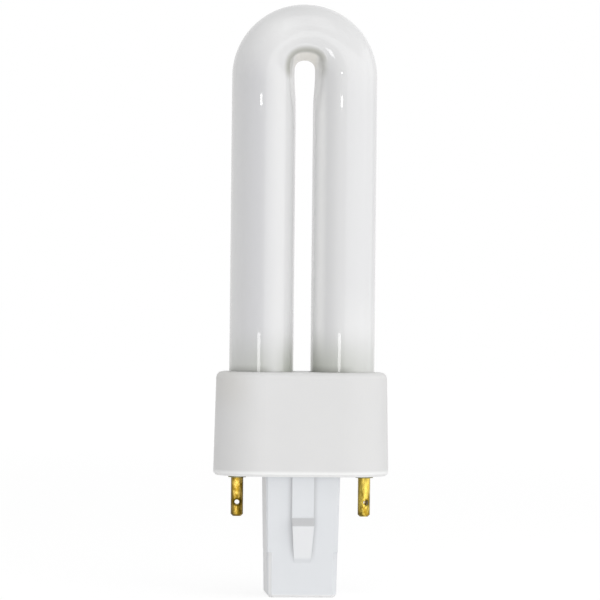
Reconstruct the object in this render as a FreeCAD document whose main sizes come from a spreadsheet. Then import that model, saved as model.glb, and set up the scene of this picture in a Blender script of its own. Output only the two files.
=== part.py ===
# Two pin compact fluorescent lamp, all lengths in millimetres and all angles in degrees.
# The origin is the middle of the seat, the underside of the base that meets a lamp holder.
# +Z runs up along the glass legs, X passes through both legs and both pins, -Y is the front.
import FreeCAD, Part
import math
import os
import Sketcher

# each size: its name, its value and what it measures
sizeTable = [
    ("tubeRadius", 5.8, "outside of the glass"),
    ("legGap", 3.1, "gap between the two legs"),
    ("tubeTop", 85.0, "seat to the top of the bend"),
    ("crotchRise", 1.15, "middle of the bend up to the middle of the hollow pressed into its crotch"),
    ("crotchSpread", 0.4, "how much wider that hollow is than the gap at its narrowest, each side"),
    ("crotchFlare", 16.2, "how far the hollow opens towards the front and the back"),
    ("leadRoom", 2.1, "inner end of a pin to the pinch seal above it"),
    ("pinchHeight", 3.2, "height of a pinch seal"),
    ("pinchSpread", 0.2, "how far a pinch seal is wider than the tube, each side"),
    ("pinchThick", 3.0, "pinch seal, front to back"),
    ("shoulderHeight", 2.4, "run of the glass from the pinch to the full round"),
    ("stubRadius", 1.1, "sealed pumping stub"),
    ("stubLength", 1.9, "length of the pumping stub"),
    ("stubTip", 0.4, "drawn end of that stub"),
    ("baseMargin", 3.05, "base outside the tube, front and back"),
    ("endMargin", 2.7, "base outside the tube, left and right"),
    ("baseHeight", 18.65, "seat to the deck that the legs stand in"),
    ("baseDraft", 1.3, "how far the base wall leans inwards"),
    ("baseWall", 1.6, "wall of the base at the seat"),
    ("deckThick", 1.6, "deck round the legs"),
    ("deckRound", 1.1, "round along the edge of the deck"),
    ("seatBevel", 0.45, "bevel along the edge of the seat"),
    ("rimWall", 1.2, "wall left outside the rebate that takes the cap"),
    ("rimHeight", 5.0, "height of the rebate and of the cap's upstand"),
    ("deckFit", 0.15, "gap between a leg and the hole in the deck"),
    ("sleeveWall", 1.1, "wall of the sleeve round each leg"),
    ("sleeveLip", 0.65, "sleeve below the cement"),
    ("cementThick", 0.5, "cement between a leg and its sleeve"),
    ("cementLift", 0.7, "cement above the shoulder of the glass"),
    ("cementFit", 0.04, "gap at each face of the cement"),
    ("capFit", 0.08, "gap between the cap and the rebate"),
    ("capPlate", 1.6, "plate of the cap"),
    ("upstandThick", 1.0, "upstand round the cap"),
    ("postWidth", 13.3, "post at the seat, across"),
    ("postInset", 2.55, "post inside the base, front and back, at the seat"),
    ("postLength", 21.7, "seat to the end of the post"),
    ("postDraft", 1.2, "how far each face of the post leans inwards"),
    ("postWall", 1.1, "wall of the post at its end"),
    ("postFloor", 1.2, "end wall of the post"),
    ("postBevel", 0.35, "bevel along the post's corners"),
    ("leadInBevel", 0.85, "wider bevel of those corners where the post enters its well"),
    ("leadInLength", 8.1, "end of the post up to the top of the wider bevel"),
    ("postEndBevel", 0.45, "bevel round the post's end"),
    ("ribWidth", 4.1, "guide rib on the front and back of the post"),
    ("ribProud", 0.55, "how far the rib stands out"),
    ("ribLength", 7.3, "seat to the foot of the rib"),
    ("lugWidth", 3.9, "latch lug at its crest"),
    ("lugProud", 1.7, "how far the crest stands out"),
    ("catchHeight", 1.5, "foot of the rib to the crest of the lug"),
    ("lugFootWidth", 3.0, "latch lug at its foot"),
    ("lugLength", 6.65, "crest of the lug to its foot"),
    ("pinInset", 4.35, "axis of a pin in from the end of the base"),
    ("pinRadius", 1.11, "contact pin"),
    ("pinLength", 7.45, "seat to the end of a pin"),
    ("pinBore", 0.55, "bore of the hollow pin"),
    ("pinTipWall", 0.8, "closed end of the pin"),
    ("pinTipBevel", 0.35, "bevel at the end of the pin"),
    ("pinFit", 0.04, "gap between a pin and its boss"),
    ("collarRadius", 1.62, "collar of the pin under the seat"),
    ("collarHeight", 0.45, "height of that collar below the seat"),
    ("collarSink", 0.1, "how deep the collar sits in the seat"),
    ("collarFit", 0.05, "gap round the collar in its sink"),
    ("flangeRadius", 1.75, "rim turned over the boss inside"),
    ("flangeHeight", 0.3, "height of that rim"),
    ("crimpRadius", 0.44, "cross hole of the pin"),
    ("crimpDrop", 4.9, "seat to the cross hole"),
    ("leftPinTurn", -4.0, "cross hole of the left pin, turned about its axis"),
    ("rightPinTurn", 14.0, "cross hole of the right pin, turned about its axis"),
    ("bossRadius", 2.4, "boss round each pin"),
    ("bossHeight", 3.4, "seat to the top of the boss"),
    ("leadRadius", 0.25, "lead of the glass tube"),
    ("leadEnd", 3.6, "seat to the end of a lead inside its pin"),
    ("thinLeadRadius", 0.2, "lead of the starter and of the capacitor"),
    ("leadRise", 0.8, "straight run of a lead before it turns"),
    ("leadStraight", 0.7, "straight run of a lead below its splice sleeve"),
    ("spliceFoot", 0.6, "seat to the lower end of a splice sleeve"),
    ("spliceHeight", 3.2, "length of a splice sleeve"),
    ("spliceWall", 0.3, "wall of a splice sleeve"),
    ("pairOffset", 0.24, "each of two leads side by side in a sleeve, from its axis"),
    ("spliceFit", 0.04, "gap round the pair of leads in a sleeve"),
    ("starterDrop", 6.5, "seat down to the top of the glow bulb"),
    ("starterFit", 0.1, "gap between the glow bulb and the post"),
    ("starterFootBevel", 0.8, "drawn-in foot of the glow bulb"),
    ("starterNeck", 0.9, "drawn-in top of the glow bulb"),
    ("starterPinchInset", 0.9, "pinch of the glow bulb inside its outline, each side"),
    ("starterPinchThick", 1.5, "pinch of the glow bulb, front to back"),
    ("starterPinchHeight", 2.4, "pinch of the glow bulb, height"),
    ("innerGap", 0.75, "gap between the glow bulb and the capacitor"),
    ("capacitorThick", 3.0, "capacitor, across"),
    ("capacitorInset", 1.15, "capacitor inside the post's hollow, front and back"),
    ("capacitorHeight", 8.5, "capacitor, height"),
    ("capacitorTop", 7.6, "seat down to the top of the capacitor"),
    ("capacitorRound", 0.5, "round along the capacitor's edges"),
    ("capacitorFit", 0.15, "gap between the capacitor and the post"),
    ("capacitorSpread", 2.5, "each lead of the capacitor from its middle"),
    ("shelfThick", 0.9, "each of the two ribs under the capacitor"),
    ("shelfSpread", 2.2, "each of those ribs from the middle"),
]
nearly = 1e-4
sweepSlack = 0.02

doc = FreeCAD.newDocument("twoPinLamp")
size = doc.addObject("Spreadsheet::Sheet", "size")
for row, (name, value, meaning) in enumerate(sizeTable, start=1):
    size.set(f"A{row}", name)
    size.set(f"B{row}", str(value))
    size.setAlias(f"B{row}", name)
    size.set(f"C{row}", meaning)
doc.recompute()

# places that several pieces share, as expressions of the sheet's cells
legX = "(size.tubeRadius + size.legGap / 2)"
baseRadius = "(size.tubeRadius + size.baseMargin)"
baseReach = f"({legX} + size.tubeRadius + size.endMargin)"
endArcX = f"({baseReach} - {baseRadius})"
pinX = f"({baseReach} - size.pinInset)"
innerLeadX = f"(2 * {legX} - {pinX})"
deckUnder = "(size.baseHeight - size.deckThick)"
wallTop = "(size.baseHeight - size.deckRound)"
capRadius = f"({baseRadius} - size.rimWall - size.capFit)"
sleeveBore = "(size.tubeRadius + size.cementThick)"
bendZ = f"(size.tubeTop - {legX} - size.tubeRadius)"
throat = "(size.legGap / 2 + size.crotchSpread)"
chordX = f"({legX} - size.tubeRadius / 3)"
pinTop = "(size.bossHeight + size.flangeHeight)"
pinchFoot = f"({pinTop} + size.leadRoom)"
pinchTop = f"({pinchFoot} + size.pinchHeight)"
pinchHalf = "(size.tubeRadius + size.pinchSpread)"
legFoot = f"({pinchTop} + size.shoulderHeight)"
cementFoot = f"({legFoot} + size.cementLift)"
postHalfWidth = "(size.postWidth / 2)"
postHalfDepth = f"({baseRadius} - size.postInset)"
leanOfPost = "(size.postLength * tan(size.postDraft))"
hollowX = f"({postHalfWidth} - {leanOfPost} - size.postWall)"
hollowY = f"({postHalfDepth} - {leanOfPost} - size.postWall)"
hollowFloor = "(size.postFloor - size.postLength)"
lugCrest = "(size.ribLength + size.catchHeight)"
lugFoot = f"({lugCrest} + size.lugLength)"
innerFits = "(size.starterFit + size.innerGap + size.capacitorFit)"
starterRadius = f"({hollowX} - size.capacitorThick / 2 - {innerFits} / 2)"
starterX = f"({starterRadius} + size.starterFit - {hollowX})"
starterTop = "(0 - size.starterDrop)"
starterNeckFoot = f"({starterTop} - size.starterPinchHeight)"
capacitorX = f"({hollowX} - size.capacitorFit - size.capacitorThick / 2)"
capacitorFoot = "(0 - size.capacitorTop - size.capacitorHeight)"
spliceBore = "(size.pairOffset + size.thinLeadRadius + size.spliceFit)"
spliceMiddle = "(size.spliceFoot + size.spliceHeight / 2)"
sides = (("left", -1), ("right", 1))


def number(expression):
    return float(size.evalExpression(expression))


def vector(corner):
    return FreeCAD.Vector(*[number(place) for place in corner])


def makeBody(label):
    body = doc.addObject("PartDesign::Body", label)
    body.Label = label
    return body


def originPlane(body, role):
    return next(item for item in body.Origin.OriginFeatures if item.Role == role)


def makeSketch(body, name, role="XY_Plane", height="0"):
    sketch = body.newObject("Sketcher::SketchObject", name)
    sketch.AttachmentSupport = [(originPlane(body, role), "")]
    sketch.MapMode = "FlatFace"
    sketch.setExpression("AttachmentOffset.Base.z", height)
    return sketch


# one dimension of a sketch, held by an expression
def hold(sketch, kind, where, expression):
    index = sketch.addConstraint(Sketcher.Constraint(kind, *where, number(expression)))
    sketch.setExpression(f"Constraints[{index}]", expression)


# a closed outline of straight lines through corners that are given as pairs of expressions
def addOutline(sketch, corners):
    places = [FreeCAD.Vector(number(x), number(y), 0) for x, y in corners]
    first = sketch.GeometryCount
    for here, there in zip(places, places[1:] + places[:1]):
        sketch.addGeometry(Part.LineSegment(here, there), False)
    for step, (x, y) in enumerate(corners):
        line = first + step
        following = first + (step + 1) % len(corners)
        sketch.addConstraint(Sketcher.Constraint("Coincident", line, 2, following, 1))
        hold(sketch, "DistanceX", (-1, 1, line, 1), x)
        hold(sketch, "DistanceY", (-1, 1, line, 1), y)


def addRectangle(sketch, halfX, halfY, middleX="0", middleY="0"):
    addOutline(sketch, [
        (f"{middleX} - ({halfX})", f"{middleY} - ({halfY})"),
        (f"{middleX} + ({halfX})", f"{middleY} - ({halfY})"),
        (f"{middleX} + ({halfX})", f"{middleY} + ({halfY})"),
        (f"{middleX} - ({halfX})", f"{middleY} + ({halfY})"),
    ])


# a rectangle about the middle with its four corners cut off
def addBevelled(sketch, halfX, halfY, bevel):
    corners = []
    for alongX, alongY, first in ((1, -1, "y"), (1, 1, "x"), (-1, 1, "y"), (-1, -1, "x")):
        byX = (f"{alongX} * ({halfX} - {bevel})", f"{alongY} * {halfY}")
        byY = (f"{alongX} * {halfX}", f"{alongY} * ({halfY} - {bevel})")
        corners.extend([byX, byY] if first == "y" else [byY, byX])
    addOutline(sketch, corners)


def addCircle(sketch, x, y, radius):
    middle = FreeCAD.Vector(number(x), number(y), 0)
    circle = sketch.addGeometry(Part.Circle(middle, FreeCAD.Vector(0, 0, 1), number(radius)), False)
    hold(sketch, "DistanceX", (-1, 1, circle, 3), x)
    hold(sketch, "DistanceY", (-1, 1, circle, 3), y)
    hold(sketch, "Radius", (circle,), radius)


# the plan of the base: two half circles joined by straight sides
def addPlan(sketch, radius):
    reach = number(endArcX)
    span = number(radius)
    up = FreeCAD.Vector(0, 0, 1)
    rightEnd = Part.Circle(FreeCAD.Vector(reach, 0, 0), up, span)
    leftEnd = Part.Circle(FreeCAD.Vector(-reach, 0, 0), up, span)
    quarter = math.pi / 2
    right = sketch.addGeometry(Part.ArcOfCircle(rightEnd, -quarter, quarter), False)
    backEdge = Part.LineSegment(FreeCAD.Vector(reach, span, 0), FreeCAD.Vector(-reach, span, 0))
    back = sketch.addGeometry(backEdge, False)
    left = sketch.addGeometry(Part.ArcOfCircle(leftEnd, quarter, 3 * quarter), False)
    frontEdge = Part.LineSegment(FreeCAD.Vector(-reach, -span, 0), FreeCAD.Vector(reach, -span, 0))
    front = sketch.addGeometry(frontEdge, False)
    for here, there in ((right, back), (back, left), (left, front), (front, right)):
        sketch.addConstraint(Sketcher.Constraint("Tangent", here, 2, there, 1))
    sketch.addConstraint(Sketcher.Constraint("Equal", right, left))
    sketch.addConstraint(Sketcher.Constraint("PointOnObject", right, 3, -1))
    sketch.addConstraint(Sketcher.Constraint("PointOnObject", left, 3, -1))
    hold(sketch, "DistanceX", (-1, 1, right, 3), endArcX)
    hold(sketch, "DistanceX", (left, 3, -1, 1), endArcX)
    hold(sketch, "Radius", (right,), radius)


def volumeOf(body):
    return 0.0 if body.Shape.isNull() else body.Shape.Volume


# adds or cuts a prism, and stops if the body did not change the way it should
def extrude(body, kind, sketch, length, back=False, both=False, taper="0", through=False):
    before = volumeOf(body)
    feature = body.newObject("PartDesign::" + kind, sketch.Name + kind)
    feature.Profile = sketch
    feature.Reversed = back
    feature.SideType = "Symmetric" if both else "One side"
    if through:
        feature.Type = "ThroughAll"
    feature.setExpression("Length", length)
    feature.setExpression("TaperAngle", taper)
    body.Tip = feature
    doc.recompute()
    change = volumeOf(body) - before
    if abs(change) < nearly or (change > 0) != (kind == "Pad"):
        raise RuntimeError(f"{feature.Name} changed the volume of {body.Label} by {change}")
    return feature


def revolve(body, sketch, angle=360, back=False):
    feature = body.newObject("PartDesign::Revolution", sketch.Name + "Revolution")
    feature.Profile = sketch
    feature.ReferenceAxis = (sketch, ["V_Axis"])
    feature.Angle = angle
    feature.Reversed = back
    body.Tip = feature
    doc.recompute()
    return feature


# rounds or bevels the edges of the body so far that the given test picks
def dressEdges(body, kind, name, reach, picks):
    base = body.Tip
    names = [f"Edge{place}" for place, edge in enumerate(base.Shape.Edges, start=1) if picks(edge)]
    feature = body.newObject("PartDesign::" + kind, name)
    feature.Base = (base, names)
    feature.setExpression("Radius" if kind == "Fillet" else "Size", reach)
    body.Tip = feature
    doc.recompute()


def liesAt(height):
    level = number(height)
    return lambda edge: max(abs(edge.BoundBox.ZMin - level), abs(edge.BoundBox.ZMax - level)) < nearly


def risesFrom(foot, top):
    low, high = number(foot), number(top)
    return lambda edge: max(abs(edge.BoundBox.ZMin - low), abs(edge.BoundBox.ZMax - high)) < nearly


# the moulded shell: a drafted wall, a deck with two holes, and a sleeve under each hole
def makeBaseShell():
    body = makeBody("base_shell")
    plan = makeSketch(body, "shellPlan")
    addPlan(plan, baseRadius)
    extrude(body, "Pad", plan, wallTop, taper="0 - size.baseDraft")
    dressEdges(body, "Chamfer", "seatEdge", "size.seatBevel", liesAt("0"))
    addDeckEdge(body)
    hollow = makeSketch(body, "shellHollow")
    addPlan(hollow, f"{baseRadius} - size.baseWall")
    extrude(body, "Pocket", hollow, deckUnder, back=True)
    sleeveFoot = f"({cementFoot} - size.sleeveLip)"
    for side, sign in sides:
        sleeve = makeSketch(body, f"{side}Sleeve", height=sleeveFoot)
        addCircle(sleeve, f"{sign} * {legX}", "0", f"{sleeveBore} + size.sleeveWall")
        extrude(body, "Pad", sleeve, f"{deckUnder} - {sleeveFoot}")
    bores = makeSketch(body, "sleeveBores")
    holes = makeSketch(body, "deckHoles")
    for side, sign in sides:
        addCircle(bores, f"{sign} * {legX}", "0", sleeveBore)
        addCircle(holes, f"{sign} * {legX}", "0", "size.tubeRadius + size.deckFit")
    extrude(body, "Pocket", bores, deckUnder, back=True)
    extrude(body, "Pocket", holes, "size.baseHeight", back=True, through=True)
    rebate = makeSketch(body, "rimRebate")
    addPlan(rebate, f"{baseRadius} - size.rimWall")
    extrude(body, "Pocket", rebate, "size.rimHeight", back=True)
    return body


# the round along the edge of the deck, in three steps of a third of its quarter turn
def addDeckEdge(body):
    for angle in (0, 30, 60):
        band = makeSketch(body, f"deckEdge{angle}", height=f"{wallTop} + size.deckRound * sin({angle})")
        reach = f"{baseRadius} - {wallTop} * tan(size.baseDraft) - size.deckRound * (1 - cos({angle}))"
        addPlan(band, reach)
        rise = f"size.deckRound * (sin({angle + 30}) - sin({angle}))"
        extrude(body, "Pad", band, rise, taper=f"0 - {angle + 15}")


# the cap: a plate that closes the shell, with a hollow post below that guides and latches
def makeCap():
    body = makeBody("lamp_cap")
    plate = makeSketch(body, "capPlan")
    addPlan(plate, capRadius)
    extrude(body, "Pad", plate, "size.capPlate")
    upstand = makeSketch(body, "upstandRing", height="size.capPlate")
    addPlan(upstand, capRadius)
    addPlan(upstand, f"{capRadius} - size.upstandThick")
    extrude(body, "Pad", upstand, "size.rimHeight - size.capPlate")
    addPost(body)
    addLatch(body)
    hollow = makeSketch(body, "postHollow", height="size.capPlate")
    addRectangle(hollow, hollowX, hollowY)
    extrude(body, "Pocket", hollow, f"size.capPlate - {hollowFloor}")
    for side, sign in sides:
        boss = makeSketch(body, f"{side}Boss", height="size.capPlate")
        addCircle(boss, f"{sign} * {pinX}", "0", "size.bossRadius")
        extrude(body, "Pad", boss, "size.bossHeight - size.capPlate")
    bores = makeSketch(body, "pinBores", height="size.bossHeight")
    sinks = makeSketch(body, "collarSinks")
    for side, sign in sides:
        addCircle(bores, f"{sign} * {pinX}", "0", "size.pinRadius + size.pinFit")
        addCircle(sinks, f"{sign} * {pinX}", "0", "size.collarRadius + size.collarFit")
    extrude(body, "Pocket", bores, "size.bossHeight", through=True)
    extrude(body, "Pocket", sinks, "size.collarSink", back=True)
    for name, sign in (("frontShelf", -1), ("backShelf", 1)):
        shelf = makeSketch(body, name, height=hollowFloor)
        halfShelf = "(size.capacitorThick / 2 + size.capacitorFit)"
        addRectangle(shelf, halfShelf, "size.shelfThick / 2", capacitorX, f"{sign} * size.shelfSpread")
        extrude(body, "Pad", shelf, f"{capacitorFoot} - {hollowFloor}")
    return body


# the post: drafted all round, with wider bevels where it enters its well and a bevelled end
def addPost(body):
    levels = (
        ("postPlan", "0", "size.postBevel", "size.postDraft"),
        ("leadInPlan", "(size.postLength - size.leadInLength)", "size.leadInBevel", "size.postDraft"),
        ("postEndPlan", "(size.postLength - size.postEndBevel)", "size.leadInBevel", "45"),
        ("", "size.postLength", "", ""),
    )
    for (name, drop, bevel, draft), (_, nextDrop, _, _) in zip(levels, levels[1:]):
        lean = f"{drop} * tan(size.postDraft)"
        plan = makeSketch(body, name, height=f"0 - {drop}")
        addBevelled(plan, f"({postHalfWidth} - {lean})", f"({postHalfDepth} - {lean})", bevel)
        extrude(body, "Pad", plan, f"{nextDrop} - {drop}", back=True, taper=f"0 - {draft}")


# front and back of the post: a guide rib, then the latch lug, a wedge that fades towards its foot
def addLatch(body):
    front = makeSketch(body, "latchFront", role="XZ_Plane")
    halfWidths = (
        ("size.ribWidth / 2", "0"),
        ("size.ribWidth / 2", "0 - size.ribLength"),
        ("size.lugWidth / 2", f"0 - {lugCrest}"),
        ("size.lugFootWidth / 2", f"0 - {lugFoot}"),
    )
    rightSide = list(halfWidths)
    leftSide = [(f"0 - {x}", z) for x, z in reversed(halfWidths)]
    addOutline(front, rightSide + leftSide)
    extrude(body, "Pad", front, f"2 * ({postHalfDepth} + size.lugProud)", both=True)
    carve = makeSketch(body, "latchProfile", role="YZ_Plane")
    face = postHalfDepth + " - {drop} * tan(size.postDraft)"
    ribTop = face.format(drop="0") + " + size.ribProud"
    ribFoot = face.format(drop="size.ribLength") + " + size.ribProud"
    crest = face.format(drop=lugCrest) + " + size.lugProud"
    foot = face.format(drop=lugFoot)
    outside = f"{postHalfDepth} + 2 * size.lugProud"
    for sign in (-1, 1):
        addOutline(carve, [(f"{sign} * ({y})", z) for y, z in (
            (outside, "0"),
            (ribTop, "0"),
            (ribFoot, "0 - size.ribLength"),
            (crest, f"0 - {lugCrest}"),
            (foot, f"0 - {lugFoot}"),
            (outside, f"0 - {lugFoot}"),
        )])
    extrude(body, "Pocket", carve, "2 * size.postWidth", both=True)


# a drawn brass pin: closed and bevelled at its tip, open inside the base, held by collar and rim
def makePin(side, sign):
    body = makeBody(f"pin_{side}")
    half = makeSketch(body, f"{side}PinHalf", role="XZ_Plane")
    addOutline(half, [
        ("size.pinBore", pinTop),
        ("size.flangeRadius", pinTop),
        ("size.flangeRadius", "size.bossHeight"),
        ("size.pinRadius", "size.bossHeight"),
        ("size.pinRadius", "size.collarSink"),
        ("size.collarRadius", "size.collarSink"),
        ("size.collarRadius", "0 - size.collarHeight"),
        ("size.pinRadius", "0 - size.collarHeight"),
        ("size.pinRadius", "size.pinTipBevel - size.pinLength"),
        ("size.pinRadius - size.pinTipBevel", "0 - size.pinLength"),
        ("0", "0 - size.pinLength"),
        ("0", "size.pinTipWall - size.pinLength"),
        ("size.pinBore", "size.pinTipWall - size.pinLength"),
    ])
    revolve(body, half)
    crimp = makeSketch(body, f"{side}Crimp", role="XZ_Plane")
    addCircle(crimp, "0", "0 - size.crimpDrop", "size.crimpRadius")
    extrude(body, "Pocket", crimp, "4 * size.pinRadius", both=True)
    body.setExpression("Placement.Base.x", f"{sign} * {pinX}")
    body.setExpression("Placement.Rotation.Angle", f"size.{side}PinTurn")
    return body


def makeRing(label, x, foot, height, inner, outer):
    body = makeBody(label)
    ring = makeSketch(body, label + "Plan", height=foot)
    addCircle(ring, "0", "0", outer)
    addCircle(ring, "0", "0", inner)
    extrude(body, "Pad", ring, height)
    body.setExpression("Placement.Base.x", x)
    return body


def makeCement(side, sign):
    return makeRing(
        f"tube_cement_{side}",
        x=f"{sign} * {legX}",
        foot=cementFoot,
        height=f"{deckUnder} - size.cementFit - {cementFoot}",
        inner="size.tubeRadius + size.cementFit",
        outer=f"{sleeveBore} - size.cementFit",
    )


def makeSplice(side, sign):
    return makeRing(
        f"splice_sleeve_{side}",
        x=f"{sign} * {innerLeadX}",
        foot="size.spliceFoot",
        height="size.spliceHeight",
        inner=spliceBore,
        outer=f"{spliceBore} + size.spliceWall",
    )


# the starter's glow bulb, a small bottle with a pinched top
def makeStarter():
    body = makeBody("starter_bulb")
    half = makeSketch(body, "starterHalf", role="XZ_Plane")
    addOutline(half, [
        ("0", hollowFloor),
        (f"{starterRadius} - size.starterFootBevel", hollowFloor),
        (starterRadius, f"{hollowFloor} + size.starterFootBevel"),
        (starterRadius, f"{starterNeckFoot} - size.starterNeck"),
        (f"{starterRadius} - size.starterNeck", starterNeckFoot),
        ("0", starterNeckFoot),
    ])
    revolve(body, half)
    pinch = makeSketch(body, "starterPinch", height=starterNeckFoot)
    addRectangle(pinch, f"{starterRadius} - size.starterPinchInset", "size.starterPinchThick / 2")
    extrude(body, "Pad", pinch, "size.starterPinchHeight")
    body.setExpression("Placement.Base.x", starterX)
    return body


def makeCapacitor():
    body = makeBody("capacitor")
    plan = makeSketch(body, "capacitorPlan", height=capacitorFoot)
    addRectangle(plan, "size.capacitorThick / 2", f"{hollowY} - size.capacitorInset")
    extrude(body, "Pad", plan, "size.capacitorHeight")
    edges = risesFrom(capacitorFoot, "0 - size.capacitorTop")
    dressEdges(body, "Fillet", "capacitorEdges", "size.capacitorRound", edges)
    body.setExpression("Placement.Base.x", capacitorX)
    return body


def makeCylinder(name, x, y, foot, radius, height):
    cylinder = doc.addObject("Part::Cylinder", name)
    cylinder.Label = name
    cylinder.setExpression("Radius", radius)
    cylinder.setExpression("Height", height)
    cylinder.setExpression("Placement.Base.x", x)
    cylinder.setExpression("Placement.Base.y", y)
    cylinder.setExpression("Placement.Base.z", foot)
    return cylinder


# half of the bend's tube, on one side of a chord, turned through half a circle
def makeBend(name, outer):
    body = makeBody(name)
    section = makeSketch(body, name + "Section", height=bendZ)
    tube = Part.Circle(vector((legX, "0", "0")), FreeCAD.Vector(0, 0, 1), number("size.tubeRadius"))
    turn = math.acos((number(chordX) - number(legX)) / number("size.tubeRadius"))
    arc = Part.ArcOfCircle(tube, -turn, turn) if outer else Part.ArcOfCircle(tube, turn, 2 * math.pi - turn)
    wall = section.addGeometry(arc, False)
    chord = section.addGeometry(Part.LineSegment(arc.EndPoint, arc.StartPoint), False)
    section.addConstraint(Sketcher.Constraint("Coincident", wall, 2, chord, 1))
    section.addConstraint(Sketcher.Constraint("Coincident", chord, 2, wall, 1))
    section.addConstraint(Sketcher.Constraint("Vertical", chord))
    section.addConstraint(Sketcher.Constraint("PointOnObject", wall, 3, -1))
    hold(section, "DistanceX", (-1, 1, wall, 3), legX)
    hold(section, "DistanceX", (-1, 1, chord, 1), chordX)
    hold(section, "Radius", (wall,), "size.tubeRadius")
    revolve(body, section, angle=180, back=True)
    return body


# The hollow pressed into the crotch: round about the Y axis, narrowest in the middle plane and
# opening towards the front and the back.
def makeCrotch():
    body = makeBody("crotch_form")
    half = makeSketch(body, "crotchHalf", height=f"{bendZ} + size.crotchRise")
    reach = "(1.2 * size.tubeRadius)"
    mouth = f"{throat} + {reach} * tan(size.crotchFlare)"
    addOutline(half, [
        ("0", f"0 - {reach}"), (mouth, f"0 - {reach}"), (throat, "0"), (mouth, reach), ("0", reach),
    ])
    revolve(body, half)
    return body


# from a full round leg down to its flat pinch: the round, cut by a wedge that narrows to the pinch
def makeShoulder(side, x):
    rounded = makeCylinder(side + "ShoulderRound", x, "0", pinchTop, "size.tubeRadius", "size.shoulderHeight")
    wedge = doc.addObject("Part::Wedge", side + "ShoulderWedge")
    for name, value in (
        ("Xmin", "0 - size.tubeRadius"), ("Xmax", "size.tubeRadius"),
        ("Zmin", "0 - size.pinchThick / 2"), ("Zmax", "size.pinchThick / 2"),
        ("Ymin", "0"), ("Ymax", "size.shoulderHeight"),
        ("X2min", "0 - size.tubeRadius"), ("X2max", "size.tubeRadius"),
        ("Z2min", "0 - size.tubeRadius"), ("Z2max", "size.tubeRadius"),
    ):
        wedge.setExpression(name, value)
    wedge.Placement.Rotation = FreeCAD.Rotation(FreeCAD.Vector(1, 0, 0), 90)
    wedge.setExpression("Placement.Base.x", x)
    wedge.setExpression("Placement.Base.z", pinchTop)
    shoulder = doc.addObject("Part::Common", side + "Shoulder")
    shoulder.Base = rounded
    shoulder.Tool = wedge
    return shoulder


# one bent tube of glass, evacuated and sealed at both feet by flat pinches
def makeTube():
    outside = [makeBend("outer_bend", True), makeBend("inner_bend", False)]
    for side, sign in sides:
        x = f"{sign} * {legX}"
        outside.append(makeCylinder(side + "Leg", x, "0", legFoot, "size.tubeRadius", f"{bendZ} - {legFoot}"))
        outside.append(makeShoulder(side, x))
        pinch = doc.addObject("Part::Box", side + "Pinch")
        pinch.setExpression("Length", f"2 * {pinchHalf}")
        pinch.setExpression("Width", "size.pinchThick")
        pinch.setExpression("Height", "size.pinchHeight")
        pinch.setExpression("Placement.Base.x", f"{x} - {pinchHalf}")
        pinch.setExpression("Placement.Base.y", "0 - size.pinchThick / 2")
        pinch.setExpression("Placement.Base.z", pinchFoot)
        outside.append(pinch)
    stub = doc.addObject("Part::Cone", "pumpStub")
    stub.setExpression("Radius1", "size.stubTip")
    stub.setExpression("Radius2", "size.stubRadius")
    stub.setExpression("Height", "size.stubLength")
    stub.setExpression("Placement.Base.x", f"0 - {legX}")
    stub.setExpression("Placement.Base.z", f"{pinchFoot} - size.stubLength")
    outside.append(stub)
    glass = doc.addObject("Part::MultiFuse", "glassOutside")
    glass.Shapes = outside
    glass.Refine = False
    tube = doc.addObject("Part::Cut", "glass_tube")
    tube.Label = "glass_tube"
    tube.Base = glass
    tube.Tool = makeCrotch()
    tube.Refine = False
    return tube


# a lead is a round wire swept along straight runs, the first of them straight up
def makeLead(label, radius, corners):
    path = doc.addObject("Part::Feature", label + "Path")
    path.Shape = Part.makePolygon([vector(corner) for corner in corners])
    section = doc.addObject("Part::Circle", label + "Section")
    section.Placement.Base = vector(corners[0])
    section.setExpression("Radius", radius)
    lead = doc.addObject("Part::Sweep", label)
    lead.Label = label
    lead.Sections = [section]
    lead.Spine = (path, [])
    lead.Solid = True
    lead.Transition = "Right corner"
    doc.recompute()
    expected = math.pi * number(radius) ** 2 * path.Shape.Length
    if abs(lead.Shape.Volume - expected) > sweepSlack * expected:
        raise RuntimeError(f"{label} has volume {lead.Shape.Volume}, not {expected}")
    return lead


# from each pinch one lead goes straight down into the pin and one into the splice sleeve
def makeTubeLeads(side, sign):
    foot = "(0 - size.leadEnd)"
    pinLead = makeCylinder(
        f"pin_lead_{side}", f"{sign} * {pinX}", "0", foot, "size.leadRadius", f"{pinchFoot} - {foot}")
    foot = f"({spliceMiddle} + size.spliceFit)"
    spliceLead = makeCylinder(
        f"splice_lead_{side}", f"{sign} * {innerLeadX}", "0", foot, "size.leadRadius", f"{pinchFoot} - {foot}")
    return [pinLead, spliceLead]


# each lead of the starter rises from its pinch into one sleeve, beside the capacitor's lead
def makeStarterLeads():
    sleeveTop = f"{spliceMiddle} - size.spliceFit"
    left = makeCylinder(
        "starter_lead_left", f"0 - {innerLeadX}", "size.pairOffset", starterTop,
        "size.thinLeadRadius", f"{sleeveTop} - {starterTop}")
    ownX = f"2 * {starterX} + {innerLeadX}"
    right = makeLead("starter_lead_right", "size.thinLeadRadius", [
        (ownX, "0 - size.pairOffset", starterTop),
        (ownX, "0 - size.pairOffset", f"{starterTop} + size.leadRise"),
        (innerLeadX, "0 - size.pairOffset", "size.spliceFoot - size.leadStraight"),
        (innerLeadX, "0 - size.pairOffset", sleeveTop),
    ])
    return [left, right]


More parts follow.
